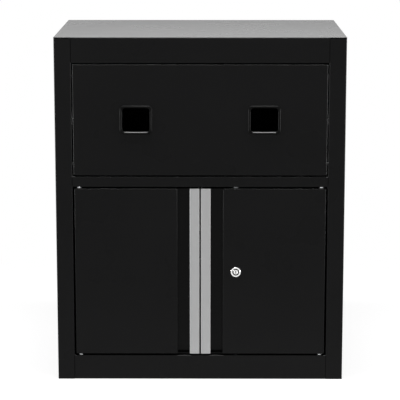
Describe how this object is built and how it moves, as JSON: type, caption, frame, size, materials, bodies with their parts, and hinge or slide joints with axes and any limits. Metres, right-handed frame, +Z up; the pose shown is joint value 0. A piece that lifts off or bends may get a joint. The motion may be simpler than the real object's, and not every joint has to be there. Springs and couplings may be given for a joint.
{
  "type": "workshop cabinet with hose reels",
  "caption": "Black sheet-steel workshop cabinet with hose reels behind a cover with roller outlets, above a lockable double-door cupboard with a shelf.",
  "frame": {"origin": "middle of the underside, on the floor", "axes": "+Z up, front faces -Y, +X to the right of someone facing the front"},
  "size_m": [0.68, 0.466, 0.82],
  "materials": {
    "black_powder_coat": "semi-gloss black powder coat, fine texture",
    "dark_steel": "satin dark grey paint",
    "aluminium_strip": "satin anodised, fine vertical grain",
    "lock_chrome": "polished",
    "zinc_steel": "bright zinc plate",
    "black_plastic": "matt moulded, fine grain",
    "nylon": "smooth",
    "rubber": "matt",
    "brass": "turned"
  },
  "bodies": {
    "root": {"back_panel": "black_powder_coat", "base_panel": "black_powder_coat", "bottom_rail": "black_powder_coat", "carcass_rivets": "zinc_steel", "cover_screws": "dark_steel", "cupboard_shelf": "black_powder_coat", "divider_floor": "black_powder_coat", "foot_inserts": "zinc_steel", "hinge_pins": "zinc_steel", "left_side_panel": "black_powder_coat", "magnet_catches": "black_plastic", "mid_rail": "black_powder_coat", "outlet_frame_left": "black_plastic", "outlet_frame_right": "black_plastic", "rear_grommets": "rubber", "reel_air_inlets": "brass", "reel_axle_left": "zinc_steel", "reel_axle_nuts": "zinc_steel", "reel_axle_right": "zinc_steel", "reel_bracket_bolts": "zinc_steel", "reel_bracket_left": "dark_steel", "reel_bracket_right": "dark_steel", "reel_cover_panel": "black_powder_coat", "right_side_panel": "black_powder_coat", "roller_pins": "zinc_steel", "shelf_clips": "zinc_steel", "shelf_uprights": "black_powder_coat", "top_panel": "black_powder_coat"},
    "door_left": {"door_left_skin": "black_powder_coat", "door_left_pan": "black_powder_coat", "door_left_handle": "aluminium_strip", "door_left_hinge_bushes": "nylon"},
    "door_right": {"door_right_skin": "black_powder_coat", "door_right_pan": "black_powder_coat", "door_right_handle": "aluminium_strip", "door_right_hinge_bushes": "nylon", "lock_barrel": "lock_chrome", "lock_nut": "zinc_steel"},
    "lock_core": {"lock_plug": "lock_chrome", "lock_cam": "zinc_steel"},
    "lock_rod_upper": {"lock_rod_upper": "zinc_steel"},
    "lock_rod_lower": {"lock_rod_lower": "zinc_steel"},
    "reel_drum_left": {"reel_drum_left": "dark_steel", "reel_bushes_left": "nylon", "reel_spring_case_left": "dark_steel", "reel_spring_left": "zinc_steel"},
    "reel_pawl_left": {"reel_pawl_left": "zinc_steel"},
    "roller_left_upper": {"roller_left_outlet_upper": "black_plastic"},
    "roller_left_lower": {"roller_left_outlet_lower": "black_plastic"},
    "roller_left_left": {"roller_left_outlet_left": "black_plastic"},
    "roller_left_right": {"roller_left_outlet_right": "black_plastic"},
    "reel_drum_right": {"reel_drum_right": "dark_steel", "reel_bushes_right": "nylon", "reel_spring_case_right": "dark_steel", "reel_spring_right": "zinc_steel"},
    "reel_pawl_right": {"reel_pawl_right": "zinc_steel"},
    "roller_right_upper": {"roller_right_outlet_upper": "black_plastic"},
    "roller_right_lower": {"roller_right_outlet_lower": "black_plastic"},
    "roller_right_left": {"roller_right_outlet_left": "black_plastic"},
    "roller_right_right": {"roller_right_outlet_right": "black_plastic"}
  },
  "joints": [
    {"name": "door_left_swing", "type": "hinge", "parent": "root", "child": "door_left", "pos_m": [-0.286, -0.221, 0.2635], "axis": [0, 0, -1], "range_deg": [0, 105]},
    {"name": "door_right_swing", "type": "hinge", "parent": "root", "child": "door_right", "pos_m": [0.286, -0.221, 0.2635], "axis": [0, 0, 1], "range_deg": [0, 105]},
    {"name": "lock_turn", "type": "hinge", "parent": "door_right", "child": "lock_core", "pos_m": [0.0845, -0.23, 0.2635], "axis": [0, -1, 0], "range_deg": [0, 90]},
    {"name": "lock_rod_upper_slide", "type": "slide", "parent": "door_right", "child": "lock_rod_upper", "axis": [0, 0, 1], "range_m": [0, 0.0155]},
    {"name": "lock_rod_lower_slide", "type": "slide", "parent": "door_right", "child": "lock_rod_lower", "axis": [0, 0, -1], "range_m": [0, 0.0158]},
    {"name": "pawl_left_tilt", "type": "hinge", "parent": "root", "child": "reel_pawl_left", "pos_m": [-0.1025, 0.005, 0.575], "axis": [1, 0, 0], "range_deg": [0, 12]},
    {"name": "pawl_right_tilt", "type": "hinge", "parent": "root", "child": "reel_pawl_right", "pos_m": [0.1025, 0.005, 0.575], "axis": [1, 0, 0], "range_deg": [0, 12]},
    {"name": "reel_left_spin", "type": "hinge", "parent": "root", "child": "reel_drum_left", "pos_m": [-0.15, 0.03, 0.655], "axis": [1, 0, 0], "continuous": true},
    {"name": "reel_right_spin", "type": "hinge", "parent": "root", "child": "reel_drum_right", "pos_m": [0.15, 0.03, 0.655], "axis": [1, 0, 0], "continuous": true},
    {"name": "roller_left_upper_spin", "type": "hinge", "parent": "root", "child": "roller_left_upper", "pos_m": [-0.15, -0.217, 0.6614], "axis": [1, 0, 0], "continuous": true},
    {"name": "roller_left_lower_spin", "type": "hinge", "parent": "root", "child": "roller_left_lower", "pos_m": [-0.15, -0.217, 0.5926], "axis": [1, 0, 0], "continuous": true},
    {"name": "roller_left_left_spin", "type": "hinge", "parent": "root", "child": "roller_left_left", "pos_m": [-0.1884, -0.202, 0.627], "axis": [0, 0, 1], "continuous": true},
    {"name": "roller_left_right_spin", "type": "hinge", "parent": "root", "child": "roller_left_right", "pos_m": [-0.1116, -0.202, 0.627], "axis": [0, 0, 1], "continuous": true},
    {"name": "roller_right_upper_spin", "type": "hinge", "parent": "root", "child": "roller_right_upper", "pos_m": [0.15, -0.217, 0.6614], "axis": [1, 0, 0], "continuous": true},
    {"name": "roller_right_lower_spin", "type": "hinge", "parent": "root", "child": "roller_right_lower", "pos_m": [0.15, -0.217, 0.5926], "axis": [1, 0, 0], "continuous": true},
    {"name": "roller_right_left_spin", "type": "hinge", "parent": "root", "child": "roller_right_left", "pos_m": [0.1116, -0.202, 0.627], "axis": [0, 0, 1], "continuous": true},
    {"name": "roller_right_right_spin", "type": "hinge", "parent": "root", "child": "roller_right_right", "pos_m": [0.1884, -0.202, 0.627], "axis": [0, 0, 1], "continuous": true}
  ],
  "couplings": [
    {"joint": "lock_turn", "follows": "lock_rod_upper_slide", "rad_per_m": 100.97},
    {"joint": "lock_rod_lower_slide", "follows": "lock_rod_upper_slide", "ratio": 1}
  ]
}
